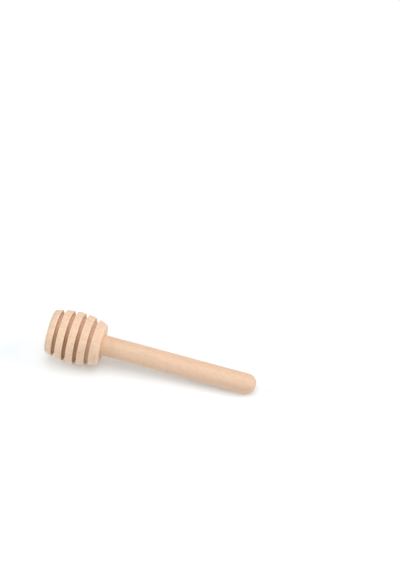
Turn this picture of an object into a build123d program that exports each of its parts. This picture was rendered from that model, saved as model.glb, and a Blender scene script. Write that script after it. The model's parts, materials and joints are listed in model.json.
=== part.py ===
from build123d import *
import math
import os

# Small wooden honey dipper, lying on its side on a table, in millimetres.
# The head is one turned block with four square grooves, glued on a plain round handle.
# X runs along the dipper, from the head at -X to the handle's free end at +X.
# Z is up from the table. The origin is the middle of the footprint, at table height.

# Whole dipper
overall_length = 80.0

# Head
head_length = 20.4
head_diameter = 19.8          # at its widest ring
widest_share = 0.505          # of the head's length, from the front face to its widest place
front_face_diameter = 16.2    # where the front curve would meet the front face
rear_face_diameter = 15.45    # where the rear curve would meet the rear face
groove_count = 4
groove_width = 1.5
groove_depth = 1.6            # below the curve at the middle of the groove
rear_disc_width = 3.2         # the last disc is a little wider than the others
front_rim_round = 0.4
rear_rim_round = 0.5
disc_edge_round = 0.2         # both edges of every groove

# Handle, a plain round rod
handle_diameter = 7.8
handle_end_round = 3.3
glued_end_chamfer = 0.5

# Socket in the head, and the dried glue between it and the handle
socket_diameter = 8.0
socket_depth = 12.0
glue_under_handle = 0.3
glue_short_of_mouth = 0.6     # the glue stops below the mouth
mouth_chamfer = 0.25

# Cutting tools run past the surface that they cut by this much
overrun = 1.0
# An edge is picked when its place and radius match within this
match_within = 0.02


def curve_radius(run, rise):
    """Radius of the arc that starts level at the widest ring and falls by rise over run."""
    return (run ** 2 + rise ** 2) / (2 * rise)


widest_radius = head_diameter / 2
widest_from_front = widest_share * head_length
front_curve = curve_radius(widest_from_front, widest_radius - front_face_diameter / 2)
rear_curve = curve_radius(head_length - widest_from_front, widest_radius - rear_face_diameter / 2)


def head_radius(station, inset=0):
    """Radius of the uncut head at a distance back from the front face.

    With an inset it is the radius of the line that runs that far inside the surface.
    """
    curve = front_curve if station < widest_from_front else rear_curve
    offset = station - widest_from_front
    return widest_radius - curve + math.sqrt((curve - inset) ** 2 - offset ** 2)


# The discs in front of the rear one are equal
disc_width = (head_length - rear_disc_width - groove_count * groove_width) / groove_count
groove_pitch = disc_width + groove_width
groove_starts = [disc_width + i * groove_pitch for i in range(groove_count)]

socket_radius = socket_diameter / 2
socket_floor = head_length - socket_depth
handle_radius = handle_diameter / 2
handle_start = socket_floor + glue_under_handle


def rod(radius, start, length):
    """A plain rod on the X axis."""
    return extrude(Plane.YZ.offset(start) * Circle(radius), length)


def rims_at(solid, station, radius):
    """The round edges of a solid at one distance along X and one radius."""
    return [
        edge
        for edge in solid.edges().filter_by(GeomType.CIRCLE)
        if abs(edge.arc_center.X - station) < match_within
        and abs(edge.radius - radius) < match_within
    ]


def corner_at(profile, station, radius):
    """The corner of a flat profile nearest to a distance along X and a radius."""
    return profile.vertices().sort_by_distance((station, radius))[0]


def block(start, length, inner_radius, height):
    """A rectangle above the X axis, which the head's profile is cut with."""
    low_corner = Pos(start, inner_radius)
    return low_corner * Rectangle(length, height, align=(Align.MIN, Align.MIN))


def make_head():
    """The turned head, its axis on X and its flat front face at zero."""
    front_half = widest_from_front / 2
    rear_half = (head_length + widest_from_front) / 2
    front = (0, head_radius(0))
    widest = (widest_from_front, widest_radius)
    rear = (head_length, head_radius(head_length))
    outline = [
        Line((0, 0), front),
        ThreePointArc(front, (front_half, head_radius(front_half)), widest),
        ThreePointArc(widest, (rear_half, head_radius(rear_half)), rear),
        Line(rear, (head_length, 0)),
        Line((head_length, 0), (0, 0)),
    ]
    profile = make_face(outline)
    for start in groove_starts:
        floor_radius = head_radius(start + groove_width / 2) - groove_depth
        profile -= block(start, groove_width, floor_radius, groove_depth + overrun)
    profile -= block(socket_floor, socket_depth + overrun, 0, socket_radius)

    profile = fillet(corner_at(profile, *front), front_rim_round)
    profile = fillet(corner_at(profile, *rear), rear_rim_round)
    for start in groove_starts:
        for wall in (start, start + groove_width):
            profile = fillet(corner_at(profile, wall, head_radius(wall)), disc_edge_round)
    profile = chamfer(corner_at(profile, head_length, socket_radius), mouth_chamfer)
    return revolve(profile, Axis.X)


def make_handle():
    """The handle, from near the socket's floor to its rounded free end."""
    handle = rod(handle_radius, handle_start, overall_length - handle_start)
    handle = fillet(rims_at(handle, overall_length, handle_radius), handle_end_round)
    return chamfer(rims_at(handle, handle_start, handle_radius), glued_end_chamfer)


def make_glue(handle):
    """The dried glue, which fills the socket round and under the handle."""
    length = socket_depth - glue_short_of_mouth
    return rod(socket_radius, socket_floor, length) - handle


# The dipper lies on the lowest disc edge of its head and on the rounded end of its handle.
# Each is a small circle in the outline, given by its centre and its radius.
end_centre = (overall_length - handle_end_round, handle_radius - handle_end_round)


def lean_on(station, inward):
    """The lean of the axis when the head rests on the disc edge at this station."""
    centre = station + inward * disc_edge_round
    height = head_radius(centre, disc_edge_round)
    run = end_centre[0] - centre
    fall = height - end_centre[1]
    span = math.hypot(run, fall)
    return math.atan2(fall, run) - math.asin((handle_end_round - disc_edge_round) / span)


leans = [lean_on(start, -1) for start in groove_starts]
leans += [lean_on(start + groove_width, 1) for start in groove_starts]
lean = max(leans)

handle = make_handle()
leaning = Rot(0, math.degrees(lean), 0)
nodes = {
    "head": leaning * make_head(),
    "handle": leaning * handle,
    "glue_bond": leaning * make_glue(handle),
}

# Bring the lowest points to the table and the middle of the footprint to the origin
boxes = [shape.bounding_box() for shape in nodes.values()]
middle_x = (min(box.min.X for box in boxes) + max(box.max.X for box in boxes)) / 2
table_z = min(box.min.Z for box in boxes)

os.makedirs("parts", exist_ok=True)
for name, shape in nodes.items():
    export_step(Pos(-middle_x, 0, -table_z) * shape, f"parts/{name}.step")

print("The axis leans by", round(math.degrees(lean), 4), "degrees")
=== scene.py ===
import json
import math

import bpy
from mathutils import Matrix, Vector


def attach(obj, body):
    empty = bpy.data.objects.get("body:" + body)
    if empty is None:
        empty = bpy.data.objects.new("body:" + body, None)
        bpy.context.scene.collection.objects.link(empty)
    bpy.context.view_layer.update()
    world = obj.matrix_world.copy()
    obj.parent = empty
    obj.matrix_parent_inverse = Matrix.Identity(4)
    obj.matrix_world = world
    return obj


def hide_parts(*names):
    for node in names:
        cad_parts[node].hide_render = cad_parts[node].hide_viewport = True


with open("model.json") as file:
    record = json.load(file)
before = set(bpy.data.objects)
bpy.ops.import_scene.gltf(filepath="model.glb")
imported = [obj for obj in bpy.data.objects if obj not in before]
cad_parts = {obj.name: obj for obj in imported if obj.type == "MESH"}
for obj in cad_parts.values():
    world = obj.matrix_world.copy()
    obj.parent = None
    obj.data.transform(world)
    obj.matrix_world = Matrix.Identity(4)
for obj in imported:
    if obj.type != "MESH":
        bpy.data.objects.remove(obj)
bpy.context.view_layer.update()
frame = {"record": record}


# The head: one block of pale beech, turned on a lathe to a barrel shape.
# Four square grooves are cut in it with a parting tool, and the rear face is drilled for the handle.
# Sizes are in millimetres along and out from the dipper's own axis, starting at the flat front face.

HEAD_SIZES = {
    "Head Length": 20.4,
    "Widest Share": 0.505,
    "Widest Radius": 9.9,
    "Front Radius": 8.1,
    "Rear Radius": 7.725,
    "Rear Disc Extra": 0.4,
    "Groove Count": 4,
    "Groove Width": 1.5,
    "Groove Depth": 1.6,
    "Disc Edge Round": 0.2,
    "Groove Corner Round": 0.14,
    "Front Rim Round": 0.4,
    "Rear Rim Round": 0.5,
    "Socket Radius": 4.0,
    "Socket Depth": 12.0,
    "Mouth Chamfer": 0.25,
    "Steps Around": 300,
    "Out Of Round": 0.035,
    "Tool Ripple": 0.018,
    "Nick Depth": 0.16,
    "Seed": 3,
}

# The dipper lies with its axis sloping down to the handle's end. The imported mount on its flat
# front face gives the middle of that face and the way that the axis runs
front_face = {mount["name"]: mount for mount in frame["record"]["mounts"]}["head_front"]
front_middle = Vector(front_face["pos_m"])
along_dipper = -Vector(front_face["axis"]).normalized()
lean = math.atan2(-along_dipper.z, along_dipper.x)
millimetre = 0.001
lie_down = Matrix.Translation(front_middle) @ Matrix.Rotation(lean, 4, "Y") @ Matrix.Scale(millimetre, 4)


def add_node(tree, kind, inputs=None, **settings):
    """Add a node, set it up and feed its inputs with plain values or other nodes' sockets."""
    made = tree.nodes.new(kind)
    for name, value in settings.items():
        setattr(made, name, value)
    for name, value in (inputs or {}).items():
        if isinstance(value, bpy.types.NodeSocket):
            tree.links.new(value, made.inputs[name])
        else:
            made.inputs[name].default_value = value
    return made


def calc(tree, operation, *values):
    """A sum on one or more values, as one Math node."""
    made = add_node(tree, "ShaderNodeMath", dict(enumerate(values)), operation=operation)
    return made.outputs[0]


def between(tree, low, high, share):
    """The value at this share of the way from low to high."""
    made = add_node(tree, "ShaderNodeMix", {"Factor": share, "A": low, "B": high}, clamp_factor=False)
    return made.outputs["Result"]


def point(tree, along, out):
    """A profile point, from its place along the axis and its distance out from it."""
    return add_node(tree, "ShaderNodeCombineXYZ", {"X": along, "Y": out}).outputs[0]


def add_inputs(tree, sizes):
    """Give a tree one named input for each size, and return their sockets by name."""
    for name, value in sizes.items():
        kind = "NodeSocketInt" if isinstance(value, int) else "NodeSocketFloat"
        tree.interface.new_socket(name, in_out="INPUT", socket_type=kind).default_value = value
    inlet = tree.nodes.new("NodeGroupInput")
    return {name: inlet.outputs[name] for name in sizes}


def stored_value(tree, name):
    """A number that an earlier step stored under this name."""
    made = add_node(tree, "GeometryNodeInputNamedAttribute", {"Name": name}, data_type="FLOAT")
    return made.outputs[0]


def make_turning():
    """The lathe: a flat profile is swept round the X axis, with its wear marks carried over."""
    tree = bpy.data.node_groups.new("turn_profile", "GeometryNodeTree")
    tree.interface.new_socket("Profile", in_out="INPUT", socket_type="NodeSocketGeometry")
    tree.interface.new_socket("Steps Around", in_out="INPUT", socket_type="NodeSocketInt")
    tree.interface.new_socket("Mesh", in_out="OUTPUT", socket_type="NodeSocketGeometry")
    inlet = tree.nodes.new("NodeGroupInput")
    profile, steps = inlet.outputs["Profile"], inlet.outputs["Steps Around"]
    size = add_node(tree, "GeometryNodeAttributeDomainSize", {"Geometry": profile}, component="CURVE")
    count = size.outputs["Point Count"]
    rows = calc(tree, "ADD", steps, 1)
    grid = add_node(tree, "GeometryNodeMeshGrid", {"Vertices X": count, "Vertices Y": rows})
    index = tree.nodes.new("GeometryNodeInputIndex").outputs[0]
    which = calc(tree, "FLOOR", calc(tree, "DIVIDE", calc(tree, "ADD", index, 0.5), rows))
    round_step = calc(tree, "SUBTRACT", index, calc(tree, "MULTIPLY", which, rows))
    turn = calc(tree, "DIVIDE", calc(tree, "MULTIPLY", round_step, math.tau), steps)

    def read(name, kind, socket):
        """The value that the profile holds at this grid point."""
        return add_node(tree, "GeometryNodeSampleIndex",
                        {"Geometry": profile, "Value": socket, "Index": which},
                        data_type=kind, domain="POINT", label=name).outputs[0]

    place = read("place", "FLOAT_VECTOR", tree.nodes.new("GeometryNodeInputPosition").outputs[0])
    parts = add_node(tree, "ShaderNodeSeparateXYZ", {0: place})
    along, out = parts.outputs["X"], parts.outputs["Y"]
    spot = add_node(tree, "ShaderNodeCombineXYZ", {
        "X": along,
        "Y": calc(tree, "MULTIPLY", out, calc(tree, "SINE", turn)),
        "Z": calc(tree, "MULTIPLY", out, calc(tree, "COSINE", turn)),
    })
    shape = add_node(tree, "GeometryNodeSetPosition",
                     {"Geometry": grid.outputs["Mesh"], "Position": spot.outputs[0]})
    body = shape.outputs[0]
    for name in ("rim", "depth"):
        held = stored_value(tree, name)
        stored = add_node(tree, "GeometryNodeStoreNamedAttribute",
                          {"Geometry": body, "Name": name, "Value": read(name, "FLOAT", held)},
                          data_type="FLOAT", domain="POINT")
        body = stored.outputs[0]
    weld_within = 0.001
    joined = add_node(tree, "GeometryNodeMergeByDistance", {"Geometry": body, "Distance": weld_within})
    outlet = tree.nodes.new("NodeGroupOutput")
    tree.links.new(joined.outputs[0], outlet.inputs[0])
    return tree


turning = make_turning()


def cut_profile(tree, count, place, rounding, rim, depth, span):
    """Draw the profile through its points, round its corners and divide its long stretches."""
    line = add_node(tree, "GeometryNodeMeshLine", {"Count": count}).outputs[0]
    line = add_node(tree, "GeometryNodeSetPosition", {"Geometry": line, "Position": place}).outputs[0]
    for name, value in (("rim", rim), ("depth", depth), ("rounding", rounding)):
        line = add_node(tree, "GeometryNodeStoreNamedAttribute",
                        {"Geometry": line, "Name": name, "Value": value},
                        data_type="FLOAT", domain="POINT").outputs[0]
    curve = add_node(tree, "GeometryNodeMeshToCurve", {"Mesh": line}).outputs[0]
    corner_points = 5
    curve = add_node(tree, "GeometryNodeFilletCurve", {
        "Curve": curve,
        "Radius": stored_value(tree, "rounding"),
        "Count": corner_points,
        "Limit Radius": True,
    }, mode="POLY").outputs[0]
    index = tree.nodes.new("GeometryNodeInputIndex").outputs[0]
    here = tree.nodes.new("GeometryNodeInputPosition").outputs[0]
    following = add_node(tree, "GeometryNodeFieldAtIndex",
                         {"Index": calc(tree, "ADD", index, 1), "Value": here},
                         data_type="FLOAT_VECTOR", domain="POINT").outputs[0]
    length = add_node(tree, "ShaderNodeVectorMath", {0: here, 1: following},
                      operation="DISTANCE").outputs["Value"]
    most_cuts = 12
    cuts = calc(tree, "MINIMUM", calc(tree, "FLOOR", calc(tree, "DIVIDE", length, span)), most_cuts)
    return add_node(tree, "GeometryNodeSubdivideCurve", {"Curve": curve, "Cuts": cuts}).outputs[0]


def finish_turning(tree, profile, sizes, surface):
    """Turn the profile, then add what the tool and handling leave: wobble, ripple and nicks."""
    body = add_node(tree, "GeometryNodeGroup", {"Profile": profile, "Steps Around": sizes["Steps Around"]},
                    node_tree=turning).outputs[0]
    here = tree.nodes.new("GeometryNodeInputPosition").outputs[0]
    normal = tree.nodes.new("GeometryNodeInputNormal").outputs[0]
    seed_step = 17.3
    seed = calc(tree, "MULTIPLY", sizes["Seed"], seed_step)

    def noise(scale, stretch, detail=2.0):
        """Noise about zero, from -1 to 1, stretched by direction."""
        moved = add_node(tree, "ShaderNodeVectorMath", {0: here, 1: stretch}, operation="MULTIPLY")
        made = add_node(tree, "ShaderNodeTexNoise",
                        {"Vector": moved.outputs[0], "W": seed, "Scale": scale, "Detail": detail},
                        noise_dimensions="4D").outputs[0]
        return calc(tree, "MULTIPLY", calc(tree, "SUBTRACT", made, 0.5), 2.0)

    wobble = calc(tree, "MULTIPLY", noise(0.09, (0.5, 1.0, 1.0)), sizes["Out Of Round"])
    ripple = calc(tree, "MULTIPLY", noise(1.1, (1.6, 0.35, 0.35), 3.0), sizes["Tool Ripple"])
    chips = noise(0.75, (0.8, 1.0, 1.0), 4.0)
    broken = add_node(tree, "ShaderNodeMapRange",
                      {"Value": chips, "From Min": 0.30, "From Max": 0.75}).outputs[0]
    nick = calc(tree, "MULTIPLY", calc(tree, "MULTIPLY", broken, stored_value(tree, "rim")),
                sizes["Nick Depth"])
    move = calc(tree, "SUBTRACT", calc(tree, "ADD", wobble, ripple), nick)
    offset = add_node(tree, "ShaderNodeVectorMath", {0: normal, "Scale": move}, operation="SCALE")
    body = add_node(tree, "GeometryNodeSetPosition",
                    {"Geometry": body, "Offset": offset.outputs[0]}).outputs[0]
    body = add_node(tree, "GeometryNodeSetShadeSmooth", {"Geometry": body}).outputs[0]
    body = add_node(tree, "GeometryNodeRealizeInstances", {"Geometry": body}).outputs[0]
    body = add_node(tree, "GeometryNodeSetMaterial", {"Geometry": body, "Material": surface}).outputs[0]
    tree.interface.new_socket("Geometry", in_out="OUTPUT", socket_type="NodeSocketGeometry")
    outlet = tree.nodes.new("NodeGroupOutput")
    tree.links.new(body, outlet.inputs[0])


def make_piece(name, tree, sizes, surface):
    """Run a piece's tree once, and keep the result as a plain mesh that lies in its place."""
    seat = bpy.data.objects.new(name + "_blank", bpy.data.meshes.new(name + "_blank"))
    bpy.context.collection.objects.link(seat)
    lathe = seat.modifiers.new("lathe", "NODES")
    lathe.node_group = tree
    for item in tree.interface.items_tree:
        if item.in_out == "INPUT" and item.name in sizes:
            lathe[item.identifier] = sizes[item.name]
    seen = seat.evaluated_get(bpy.context.evaluated_depsgraph_get())
    mesh = bpy.data.meshes.new_from_object(seen)
    bpy.data.objects.remove(seat)
    mesh.name = name
    mesh.transform(lie_down)
    if not mesh.materials:
        mesh.materials.append(surface)
    piece = bpy.data.objects.new(name, mesh)
    bpy.context.collection.objects.link(piece)
    return piece


def make_head_tree(surface):
    """The head's profile by rule: a barrel of discs and grooves, then the drilled socket."""
    tree = bpy.data.node_groups.new("turned_head", "GeometryNodeTree")
    size = add_inputs(tree, HEAD_SIZES)
    top_points, floor_points = 6, 4
    unit_points = top_points + floor_points
    index = tree.nodes.new("GeometryNodeInputIndex").outputs[0]

    # Equal discs are left between the grooves, but the rear one is a little wider
    length, groove = size["Head Length"], size["Groove Width"]
    discs = calc(tree, "ADD", size["Groove Count"], 1)
    cut_away = calc(tree, "MULTIPLY", size["Groove Count"], groove)
    evened = calc(tree, "SUBTRACT", length, size["Rear Disc Extra"])
    disc = calc(tree, "DIVIDE", calc(tree, "SUBTRACT", evened, cut_away), discs)
    pitch = calc(tree, "ADD", disc, groove)

    # Each disc has points along its top, and the groove behind it has points along its floor
    step = calc(tree, "SUBTRACT", index, 1)
    unit = calc(tree, "FLOOR", calc(tree, "DIVIDE", calc(tree, "ADD", step, 0.5), unit_points))
    spot = calc(tree, "SUBTRACT", step, calc(tree, "MULTIPLY", unit, unit_points))
    on_floor = calc(tree, "GREATER_THAN", spot, top_points - 0.5)
    start = calc(tree, "MULTIPLY", unit, pitch)
    groove_start = calc(tree, "ADD", start, disc)
    last = calc(tree, "GREATER_THAN", unit, calc(tree, "SUBTRACT", size["Groove Count"], 0.5))
    top_width = calc(tree, "ADD", disc, calc(tree, "MULTIPLY", size["Rear Disc Extra"], last))
    top_step = calc(tree, "DIVIDE", spot, top_points - 1)
    on_top = calc(tree, "ADD", start, calc(tree, "MULTIPLY", top_width, top_step))
    floor_step = calc(tree, "DIVIDE", calc(tree, "SUBTRACT", spot, top_points), floor_points - 1)
    in_groove = calc(tree, "ADD", groove_start, calc(tree, "MULTIPLY", groove, floor_step))
    along = between(tree, on_top, in_groove, on_floor)

    # The barrel is two arcs that meet level at the widest place
    groove_middle = calc(tree, "ADD", groove_start, calc(tree, "MULTIPLY", groove, 0.5))
    measured = between(tree, on_top, groove_middle, on_floor)
    widest = calc(tree, "MULTIPLY", length, size["Widest Share"])
    behind = calc(tree, "GREATER_THAN", measured, widest)
    run = between(tree, widest, calc(tree, "SUBTRACT", length, widest), behind)
    end_radius = between(tree, size["Front Radius"], size["Rear Radius"], behind)
    rise = calc(tree, "SUBTRACT", size["Widest Radius"], end_radius)
    squares = calc(tree, "ADD", calc(tree, "MULTIPLY", run, run), calc(tree, "MULTIPLY", rise, rise))
    curve = calc(tree, "DIVIDE", squares, calc(tree, "MULTIPLY", rise, 2))
    offset = calc(tree, "SUBTRACT", measured, widest)
    height = calc(tree, "SQRT", calc(tree, "SUBTRACT", calc(tree, "MULTIPLY", curve, curve),
                                     calc(tree, "MULTIPLY", offset, offset)))
    barrel = calc(tree, "ADD", calc(tree, "SUBTRACT", size["Widest Radius"], curve), height)
    out = calc(tree, "SUBTRACT", barrel, calc(tree, "MULTIPLY", size["Groove Depth"], on_floor))

    # After the last disc come the mouth, the wall and the floor of the socket
    tail_start = calc(tree, "SUBTRACT", calc(tree, "MULTIPLY", discs, unit_points), floor_points - 1)
    tail = calc(tree, "SUBTRACT", index, tail_start)
    in_tail = calc(tree, "GREATER_THAN", tail, -0.5)
    chamfer, hole = size["Mouth Chamfer"], size["Socket Radius"]
    hole_floor = calc(tree, "SUBTRACT", length, size["Socket Depth"])
    socket = add_node(tree, "GeometryNodeIndexSwitch", {"Index": tail}, data_type="VECTOR")
    corners = [
        point(tree, length, calc(tree, "ADD", hole, chamfer)),
        point(tree, calc(tree, "SUBTRACT", length, chamfer), hole),
        point(tree, hole_floor, hole),
        point(tree, hole_floor, 0.0),
    ]
    while len(socket.index_switch_items) < len(corners):
        socket.index_switch_items.new()
    for number, corner in enumerate(corners):
        tree.links.new(corner, socket.inputs[number + 1])
    barrel_place = point(tree, along, out)
    first = calc(tree, "LESS_THAN", index, 0.5)
    in_barrel = calc(tree, "SUBTRACT", 1.0, first)
    barrel_place = add_node(tree, "ShaderNodeVectorMath", {0: barrel_place, "Scale": in_barrel},
                            operation="SCALE").outputs[0]
    # A Mix node keeps its two vectors at inputs 4 and 5, and the mixed vector at output 1
    place = add_node(tree, "ShaderNodeMix", {"Factor": in_tail, 4: barrel_place, 5: socket.outputs[0]},
                     data_type="VECTOR").outputs[1]
    count = calc(tree, "ADD", tail_start, len(corners))

    # Corners: the two edges of each disc, the two corners of each groove, and the softer outer rims
    def is_at(value, number):
        """1 where the value is this number, and 0 elsewhere."""
        return add_node(tree, "FunctionNodeCompare", {"A": value, "B": float(number), "Epsilon": 0.1},
                        data_type="FLOAT", operation="EQUAL").outputs[0]

    in_wood = calc(tree, "MULTIPLY", in_barrel, calc(tree, "SUBTRACT", 1.0, in_tail))
    disc_edge = calc(tree, "MAXIMUM", is_at(spot, 0), is_at(spot, top_points - 1))
    floor_edge = calc(tree, "MAXIMUM", is_at(spot, top_points), is_at(spot, unit_points - 1))
    front_rim = is_at(index, 1)
    rear_rim = is_at(tail, -1)
    rounding = calc(tree, "ADD", calc(tree, "MULTIPLY", disc_edge, size["Disc Edge Round"]),
                    calc(tree, "MULTIPLY", floor_edge, size["Groove Corner Round"]))
    rounding = between(tree, rounding, size["Front Rim Round"], front_rim)
    rounding = between(tree, rounding, size["Rear Rim Round"], rear_rim)
    rounding = calc(tree, "MULTIPLY", rounding, in_wood)
    rim = calc(tree, "MULTIPLY", disc_edge, in_wood)
    in_socket = calc(tree, "GREATER_THAN", tail, 0.5)
    depth = calc(tree, "MAXIMUM", calc(tree, "MULTIPLY", on_floor, in_wood), in_socket)
    longest_span = 0.42
    profile = cut_profile(tree, count, place, rounding, rim, depth, longest_span)
    finish_turning(tree, profile, size, surface)
    return tree


def add_group_sockets(group, inputs, outputs):
    """Name a shader group's inputs, with their usual values, and its outputs."""
    kinds = {float: "NodeSocketFloat", tuple: "NodeSocketColor"}
    for name, value in inputs.items():
        kind = "NodeSocketVector" if name == "Grain Place" else kinds[type(value)]
        made = group.interface.new_socket(name, in_out="INPUT", socket_type=kind)
        if kind != "NodeSocketVector":
            made.default_value = value
    for name, kind in outputs.items():
        group.interface.new_socket(name, in_out="OUTPUT", socket_type=kind)
    inlet, outlet = group.nodes.new("NodeGroupInput"), group.nodes.new("NodeGroupOutput")
    return {name: inlet.outputs[name] for name in inputs}, outlet


def tint(tree, base, shade, share):
    """Blend one colour over another by a share."""
    # A Mix node keeps its two colours at inputs 6 and 7, and the mixed colour at output 2
    made = add_node(tree, "ShaderNodeMix", {"Factor": share, 6: base, 7: shade}, data_type="RGBA")
    return made.outputs[2]


def stretched(tree, place, x, y, z):
    """Places scaled by direction, for a pattern that is longer one way than another."""
    made = add_node(tree, "ShaderNodeVectorMath", {0: place, 1: (x, y, z)}, operation="MULTIPLY")
    return made.outputs[0]


def smooth_step(tree, value, low, high):
    """From 0 below low to 1 above high, with a smooth change between."""
    made = add_node(tree, "ShaderNodeMapRange", {"Value": value, "From Min": low, "From Max": high},
                    interpolation_type="SMOOTHSTEP")
    return made.outputs[0]


def make_beech():
    """Beech, worked out all through the wood: growth rings round the tree's heart, fibres, pores
    and rays. The surface shows what it cuts through: dashes on the sides, dots and lines on the ends."""
    group = bpy.data.node_groups.new("beech", "ShaderNodeTree")
    inputs = {
        "Grain Place": None,
        "End Grain": 0.0,
        "Groove": 0.0,
        "Rim": 0.0,
        "Pale Wood": (0.95, 0.69, 0.495, 1.0),
        "Dark Wood": (0.72, 0.46, 0.30, 1.0),
        "Ray Brown": (0.46, 0.24, 0.13, 1.0),
        # The warm brown painted into the grooves as their shade
        "Groove Shade Brown": (0.42, 0.20, 0.095, 1.0),
        "Warm Cloud": (0.88, 0.58, 0.43, 1.0),
        # A dusty colour for cut ends, also painted on the front rim and first disc as shade
        "Dusty End And Shade": (0.56, 0.44, 0.33, 1.0),
        # A pale colour painted on the disc edges as a highlight
        "Edge Highlight": (1.0, 0.79, 0.61, 1.0),
        "Heart Y": 46.0,
        "Heart Z": -28.0,
        "Ring Gap": 2.1,
        "Ray Strength": 0.5,
        "Seed": 0.0,
    }
    outputs = {"Color": "NodeSocketColor", "Roughness": "NodeSocketFloat", "Height": "NodeSocketFloat"}
    socket, outlet = add_group_sockets(group, inputs, outputs)
    place, seed = socket["Grain Place"], socket["Seed"]

    def noise(where, scale, detail=3.0, rough=0.55):
        """Noise from 0 to 1, with this piece's own seed."""
        return add_node(group, "ShaderNodeTexNoise",
                        {"Vector": where, "W": seed, "Scale": scale, "Detail": detail, "Roughness": rough},
                        noise_dimensions="4D").outputs[0]

    # Rings and rays run from the heart, which lies far outside this small piece, and they wander
    drift = noise(stretched(group, place, 0.25, 1.0, 1.0), 0.10)
    parts = add_node(group, "ShaderNodeSeparateXYZ", {0: place})
    grain_x = parts.outputs["X"]
    from_y = calc(group, "SUBTRACT", parts.outputs["Y"], socket["Heart Y"])
    from_z = calc(group, "SUBTRACT", parts.outputs["Z"], socket["Heart Z"])
    squares = calc(group, "ADD", calc(group, "MULTIPLY", from_y, from_y),
                   calc(group, "MULTIPLY", from_z, from_z))
    heart_gap = calc(group, "ADD", calc(group, "SQRT", squares), calc(group, "MULTIPLY", drift, 4.0))
    # The angle round the heart becomes millimetres at this piece's usual distance from it
    usual_gap = 54.0
    heart_turn = calc(group, "MULTIPLY", calc(group, "ARCTAN2", from_z, from_y), usual_gap)
    across = calc(group, "ADD", heart_turn, calc(group, "MULTIPLY", drift, 1.5))
    wood = add_node(group, "ShaderNodeCombineXYZ", {"X": grain_x, "Y": across, "Z": heart_gap}).outputs[0]

    # Growth rings: slowly darker to a thin late line, then pale again
    ring_place = add_node(group, "ShaderNodeCombineXYZ", {"Z": heart_gap}).outputs[0]
    uneven = calc(group, "MULTIPLY", noise(ring_place, 0.35, 1.0), 1.6)
    ring_count = calc(group, "DIVIDE", heart_gap, socket["Ring Gap"])
    ring = calc(group, "FRACT", calc(group, "ADD", ring_count, uneven))
    late = calc(group, "SUBTRACT", smooth_step(group, ring, 0.35, 0.93),
                smooth_step(group, ring, 0.95, 1.0))
    fibre = noise(stretched(group, wood, 0.12, 3.2, 3.2), 1.0, 5.0, 0.62)
    cloud = noise(stretched(group, place, 0.25, 1.0, 1.0), 0.22, 2.0)
    ring_share = calc(group, "MULTIPLY", late, between(group, 0.22, 0.55, socket["End Grain"]))
    colour = tint(group, socket["Pale Wood"], socket["Dark Wood"], ring_share)
    fibre_share = calc(group, "MULTIPLY", smooth_step(group, fibre, 0.42, 0.78), 0.42)
    colour = tint(group, colour, socket["Dark Wood"], fibre_share)
    figure = noise(stretched(group, wood, 0.5, 1.9, 1.9), 1.0, 3.0, 0.6)
    figure_share = calc(group, "MULTIPLY", smooth_step(group, figure, 0.46, 0.62), 0.34)
    colour = tint(group, colour, socket["Dark Wood"], figure_share)
    cloud_share = calc(group, "MULTIPLY", smooth_step(group, cloud, 0.40, 0.75), 0.35)
    colour = tint(group, colour, socket["Warm Cloud"], cloud_share)

    # Rays: thin plates that stand out from the heart. They are dashes on the sides
    def cells(where, size_limit, keep):
        """Spots that fade out at the size limit. The higher the keep value, the fewer there are."""
        made = add_node(group, "ShaderNodeTexVoronoi", {"Vector": where, "W": seed, "Scale": 1.0},
                        voronoi_dimensions="4D")
        far = smooth_step(group, made.outputs["Distance"], size_limit * 0.5, size_limit)
        near = calc(group, "SUBTRACT", 1.0, far)
        pick = add_node(group, "ShaderNodeSeparateColor", {0: made.outputs["Color"]}).outputs[0]
        return calc(group, "MULTIPLY", near, smooth_step(group, pick, keep, keep + 0.25))

    ray = cells(stretched(group, wood, 0.42, 2.6, 0.05), 0.36, 0.45)
    small_ray = cells(stretched(group, wood, 0.95, 6.5, 0.12), 0.36, 0.35)
    rays = calc(group, "MULTIPLY", calc(group, "MAXIMUM", ray, calc(group, "MULTIPLY", small_ray, 0.55)),
                socket["Ray Strength"])
    colour = tint(group, colour, socket["Ray Brown"], rays)
    pore = cells(stretched(group, wood, 0.8, 9.0, 9.0), 0.42, 0.35)
    pore_share = calc(group, "MULTIPLY", pore, between(group, 0.16, 0.30, socket["End Grain"]))
    colour = tint(group, colour, socket["Ray Brown"], pore_share)

    # Cut ends drink in light and dust. The front rim and the first disc get the same dusty colour as
    # painted shade
    front_rim_shade = calc(group, "SUBTRACT", 1.0, smooth_step(group, grain_x, 0.6, 1.2))
    first_disc_shade = calc(group, "MULTIPLY", smooth_step(group, grain_x, 3.6, 1.5), 0.25)
    end_grain_and_shade = calc(group, "MAXIMUM", socket["End Grain"], calc(group, "MAXIMUM", front_rim_shade, first_disc_shade))
    colour = tint(group, colour, socket["Dusty End And Shade"], calc(group, "MULTIPLY", end_grain_and_shade, 0.6))
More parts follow.
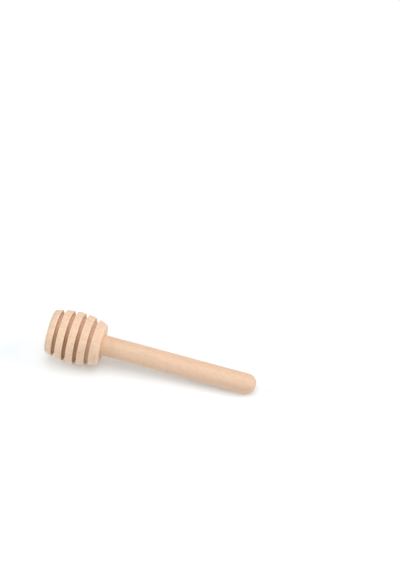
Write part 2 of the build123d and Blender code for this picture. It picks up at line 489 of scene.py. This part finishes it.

    # The grooves get painted shade in a warm brown: more on one side, most of all low
    #     down on it. The second groove gets the most of it, and the rear groove the least
    patchy = noise(stretched(group, place, 0.6, 1.0, 1.0), 0.45, 4.0)
    shaded_side, lowest_side = math.radians(200), math.radians(225)
    second_groove = 8.4
    angle = calc(group, "ARCTAN2", parts.outputs["Z"], parts.outputs["Y"])
    turned_by = calc(group, "COSINE", calc(group, "SUBTRACT", angle, shaded_side))
    lowest = calc(group, "COSINE", calc(group, "SUBTRACT", angle, lowest_side))
    groove_shade = between(group, 0.04, 0.66, smooth_step(group, turned_by, -0.9, 0.75))
    groove_shade = calc(group, "ADD", groove_shade, calc(group, "MULTIPLY", smooth_step(group, lowest, 0.7, 1.0), 0.3))
    from_second = calc(group, "MULTIPLY", calc(group, "SUBTRACT", grain_x, second_groove), 0.16)
    groove_shade = calc(group, "MULTIPLY", groove_shade, between(group, 0.3, 1.1, calc(group, "COSINE", from_second)))
    groove_shade = calc(group, "ADD", groove_shade, calc(group, "MULTIPLY", patchy, 0.3))
    painted_groove_shade = calc(group, "MULTIPLY", socket["Groove"], groove_shade)
    colour = tint(group, colour, socket["Groove Shade Brown"], painted_groove_shade)
    # The edges of the discs get a pale painted highlight, and are scuffed in places
    colour = tint(group, colour, socket["Edge Highlight"], calc(group, "MULTIPLY", socket["Rim"], 0.35))
    worn = calc(group, "MULTIPLY", socket["Rim"], smooth_step(group, patchy, 0.52, 0.72))
    colour = tint(group, colour, socket["Dark Wood"], calc(group, "MULTIPLY", worn, 0.45))

    # Fine lines from sandpaper held against the spinning piece
    close_set = calc(group, "MULTIPLY", grain_x, 9.0)
    spun = add_node(group, "ShaderNodeCombineXYZ", {"X": close_set, "Y": angle}).outputs[0]
    sanding = noise(spun, 1.0, 3.0)
    height = calc(group, "ADD", calc(group, "MULTIPLY", fibre, 0.5), calc(group, "MULTIPLY", sanding, 0.35))
    height = calc(group, "SUBTRACT", height, calc(group, "MULTIPLY", pore, 0.45))
    height = calc(group, "SUBTRACT", height, calc(group, "MULTIPLY", rays, 0.15))
    rough = calc(group, "ADD", 0.56, calc(group, "MULTIPLY", fibre, 0.12))
    rough = calc(group, "ADD", rough, calc(group, "MULTIPLY", socket["End Grain"], 0.12))
    for name, value in (("Color", colour), ("Roughness", rough), ("Height", height)):
        group.links.new(value, outlet.inputs[name])
    return group


beech = make_beech()


def make_wood(name, worn_marks=True, **tones):
    """Sanded, unfinished beech for one piece, cut from its own place in the tree."""
    made = bpy.data.materials.new(name)
    made.use_nodes = True
    tree = made.node_tree
    tree.nodes.clear()
    coordinates = tree.nodes.new("ShaderNodeTexCoord")
    # From the part's frame in metres to the dipper's axis in millimetres
    grain = add_node(tree, "ShaderNodeMapping", {
        "Vector": coordinates.outputs["Object"],
        "Location": front_middle,
        "Rotation": (0.0, lean, 0.0),
        "Scale": (millimetre, millimetre, millimetre),
    }, vector_type="TEXTURE")
    facing = add_node(tree, "ShaderNodeVectorMath", {0: coordinates.outputs["Normal"], 1: along_dipper},
                      operation="DOT_PRODUCT").outputs["Value"]
    # The sawn front end is rough and greys with dust. The rear end was cut clean on the lathe
    sawn = smooth_step(tree, calc(tree, "MULTIPLY", facing, -1.0), 0.35, 0.9)
    clean_cut = calc(tree, "MULTIPLY", smooth_step(tree, facing, 0.45, 0.95), 0.25)
    end_grain = calc(tree, "MAXIMUM", sawn, clean_cut)
    marks = {"Groove": "depth", "Rim": "rim"}
    inputs = {"Grain Place": grain.outputs[0], "End Grain": end_grain, **tones}
    if worn_marks:
        for socket, stored in marks.items():
            inputs[socket] = add_node(tree, "ShaderNodeAttribute", attribute_name=stored).outputs["Fac"]
    wood = add_node(tree, "ShaderNodeGroup", node_tree=beech)
    for socket, value in inputs.items():
        if isinstance(value, bpy.types.NodeSocket):
            tree.links.new(value, wood.inputs[socket])
        else:
            wood.inputs[socket].default_value = value
    bump = add_node(tree, "ShaderNodeBump",
                    {"Height": wood.outputs["Height"], "Strength": 0.5, "Distance": 0.05 * millimetre})
    skin = add_node(tree, "ShaderNodeBsdfPrincipled", {
        "Base Color": wood.outputs["Color"],
        "Roughness": wood.outputs["Roughness"],
        "Normal": bump.outputs[0],
        "Specular IOR Level": 0.7,
    })
    end = tree.nodes.new("ShaderNodeOutputMaterial")
    tree.links.new(skin.outputs[0], end.inputs["Surface"])
    return made


head_wood = make_wood("head_wood", **{
    "Heart Y": 46.0,
    "Heart Z": -28.0,
    "Ring Gap": 2.1,
    "Ray Strength": 0.21,
    "Seed": 2.0,
})
head_tree = make_head_tree(head_wood)
head = make_piece("turned_head", head_tree, HEAD_SIZES, head_wood)
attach(head, "root")
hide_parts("head")


# The handle: a plain beech rod, cut to length, its free end rounded over and its other end
# chamfered to start in the socket. It is sanded along with the head and left unfinished.
HANDLE_SIZES = {
    "Handle Start": 8.7,
    "Handle End": 80.0,
    "Handle Radius": 3.9,
    "End Round": 3.3,
    "Glued End Chamfer": 0.5,
    "Steps Around": 160,
    "Out Of Round": 0.03,
    "Tool Ripple": 0.012,
    "Nick Depth": 0.0,
    "Seed": 8,
}


def make_handle_tree(surface):
    """The handle's profile: chamfer, straight side and rounded end."""
    tree = bpy.data.node_groups.new("turned_handle", "GeometryNodeTree")
    size = add_inputs(tree, HANDLE_SIZES)
    index = tree.nodes.new("GeometryNodeInputIndex").outputs[0]
    start, end, radius = size["Handle Start"], size["Handle End"], size["Handle Radius"]
    chamfer = size["Glued End Chamfer"]
    # The last stretch of the side is kept longer than the round end needs
    straight = calc(tree, "SUBTRACT", end, calc(tree, "MULTIPLY", size["End Round"], 1.2))
    corners = [
        point(tree, start, 0.0),
        point(tree, start, calc(tree, "SUBTRACT", radius, chamfer)),
        point(tree, calc(tree, "ADD", start, chamfer), radius),
        point(tree, straight, radius),
        point(tree, end, radius),
        point(tree, end, 0.0),
    ]
    outline = add_node(tree, "GeometryNodeIndexSwitch", {"Index": index}, data_type="VECTOR")
    while len(outline.index_switch_items) < len(corners):
        outline.index_switch_items.new()
    for number, corner in enumerate(corners):
        tree.links.new(corner, outline.inputs[number + 1])
    rounded_corner = 4.0
    at_end = add_node(tree, "FunctionNodeCompare", {"A": index, "B": rounded_corner, "Epsilon": 0.1},
                      data_type="FLOAT", operation="EQUAL").outputs[0]
    rounding = calc(tree, "MULTIPLY", at_end, size["End Round"])
    longest_span = 0.8
    profile = cut_profile(tree, len(corners), outline.outputs[0], rounding, 0.0, 0.0, longest_span)
    finish_turning(tree, profile, size, surface)
    return tree


handle_wood = make_wood("handle_wood", worn_marks=False, **{
    "Pale Wood": (0.86, 0.613, 0.436, 1.0),
    "Heart Y": -30.0,
    "Heart Z": 52.0,
    "Ring Gap": 1.7,
    "Ray Strength": 0.22,
    "Seed": 5.0,
})
handle_tree = make_handle_tree(handle_wood)
handle = make_piece("turned_handle", handle_tree, HANDLE_SIZES, handle_wood)
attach(handle, "root")
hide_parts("handle")


# The glue: the film that holds the handle in the socket. It dries clear and yellowish,
# and shows only as a thin dull line deep in the joint.
def make_dried_glue():
    """Dried wood glue: a yellowish film with a few streaks."""
    made = bpy.data.materials.new("dried_glue")
    made.use_nodes = True
    tree = made.node_tree
    skin = tree.nodes["Principled BSDF"]
    coordinates = tree.nodes.new("ShaderNodeTexCoord")
    streaks = add_node(tree, "ShaderNodeTexNoise",
                       {"Vector": coordinates.outputs["Object"], "Scale": 900.0, "Detail": 3.0}).outputs[0]
    colour = tint(tree, (0.62, 0.50, 0.30, 1.0), (0.40, 0.28, 0.14, 1.0), streaks)
    bump = add_node(tree, "ShaderNodeBump", {"Height": streaks, "Strength": 0.4, "Distance": 0.0001})
    tree.links.new(colour, skin.inputs["Base Color"])
    tree.links.new(bump.outputs[0], skin.inputs["Normal"])
    skin.inputs["Roughness"].default_value = 0.4
    return made


dried_glue = make_dried_glue()
glue = bpy.data.objects["glue_bond"]
for slot in glue.material_slots:
    slot.material = dried_glue


# The table: a plain white sheet under the dipper, which keeps the dipper's soft shadow.
# The added light is seen but lights nothing, so that the open sheet reads as white.
def lit_only_for_view(tree):
    """1 for what the camera sees, directly or in a reflection, and 0 for light that falls."""
    path = tree.nodes.new("ShaderNodeLightPath")
    seen = calc(tree, "MAXIMUM", path.outputs["Is Camera Ray"], path.outputs["Is Glossy Ray"])
    return calc(tree, "MAXIMUM", seen, path.outputs["Is Transmission Ray"])


table_sheet = bpy.data.materials.new("table_sheet")
table_sheet.use_nodes = True
sheet_nodes = table_sheet.node_tree
sheet_nodes.nodes.clear()
paper = add_node(sheet_nodes, "ShaderNodeBsdfDiffuse", {"Color": (0.90, 0.955, 0.995, 1.0)})
# Out of the lamps' reach the sheet would turn grey, so the added light grows with the distance
sheet_place = sheet_nodes.nodes.new("ShaderNodeTexCoord").outputs["Object"]
reach = add_node(sheet_nodes, "ShaderNodeVectorMath", {0: sheet_place}, operation="LENGTH")
added_near, added_far = 0.145, 1.0
added = between(sheet_nodes, added_near, added_far,
                smooth_step(sheet_nodes, reach.outputs["Value"], 0.15, 0.7))
glow = add_node(sheet_nodes, "ShaderNodeEmission", {
    "Color": (1.0, 1.0, 1.0, 1.0),
    "Strength": calc(sheet_nodes, "MULTIPLY", lit_only_for_view(sheet_nodes), added),
})
both = add_node(sheet_nodes, "ShaderNodeAddShader", {0: paper.outputs[0], 1: glow.outputs[0]})
sheet_end = sheet_nodes.nodes.new("ShaderNodeOutputMaterial")
sheet_nodes.links.new(both.outputs[0], sheet_end.inputs["Surface"])
half_sheet = 2.0
table_mesh = bpy.data.meshes.new("table")
sheet_corners = [(half_sheet * x, half_sheet * y, 0) for x, y in ((-1, -1), (1, -1), (1, 1), (-1, 1))]
table_mesh.from_pydata(sheet_corners, [], [(0, 1, 2, 3)])
table_mesh.materials.append(table_sheet)
table = bpy.data.objects.new("table", table_mesh)
bpy.context.collection.objects.link(table)


# The light: soft round lamps above, in front and at both sides, as in a light tent, in a white room.
# Right and away are meant as in the photo, which is turned by this much from the dipper's axis
photo_turn = math.radians(15.053)
photo_right = Vector((math.cos(photo_turn), math.sin(photo_turn), 0.0))
photo_away = Vector((-math.sin(photo_turn), math.cos(photo_turn), 0.0))


lamp_width = 0.6


def hang_lamp(name, energy, right, away, up, colour=(1.0, 1.0, 1.0)):
    """A round soft lamp that is aimed at the dipper."""
    light = bpy.data.lights.new(name, "AREA")
    light.shape = "DISK"
    light.size = lamp_width
    light.energy = energy
    light.color = colour
    lamp = bpy.data.objects.new(name, light)
    lamp.location = photo_right * right + photo_away * away + Vector((0.0, 0.0, up))
    lamp.rotation_euler = (-lamp.location).to_track_quat("-Z", "Y").to_euler()
    bpy.context.collection.objects.link(lamp)


# The lower lamps are a little warmer than the one above, which leaves the shadows cool
warm_white = (1.0, 0.965, 0.93)
hang_lamp("top_lamp", energy=1.95, right=0.0, away=0.0, up=0.75)
hang_lamp("front_lamp", energy=0.58, right=0.0, away=-0.375, up=0.65, colour=warm_white)
hang_lamp("left_lamp", energy=2.4, right=-0.66, away=0.0, up=0.35, colour=warm_white)
hang_lamp("right_lamp", energy=2.6, right=0.66, away=0.0, up=0.35, colour=warm_white)

room = bpy.data.worlds.new("white_room")
bpy.context.scene.world = room
room.use_nodes = True
room_nodes = room.node_tree
room_light = room_nodes.nodes["Background"]
room_light.inputs["Color"].default_value = (1.0, 1.0, 1.0, 1.0)
falling_light, seen_light = 0.28, 1.0
room_seen = between(room_nodes, falling_light, seen_light, lit_only_for_view(room_nodes))
room_nodes.links.new(room_seen, room_light.inputs["Strength"])
bpy.context.scene.view_settings.view_transform = "Standard"


# The camera: a long lens that looks down steeply from the photo's side of the dipper.
camera_data = bpy.data.cameras.new("camera")
camera_data.sensor_fit = "HORIZONTAL"
camera_data.sensor_width = 36.0
camera_data.lens = 172.27
camera = bpy.data.objects.new("camera", camera_data)
camera.location = (0.126878, -0.408512, 0.584130)
camera.rotation_euler = (math.radians(38.722), math.radians(0.025), math.radians(14.794))
bpy.context.collection.objects.link(camera)
bpy.context.scene.camera = camera
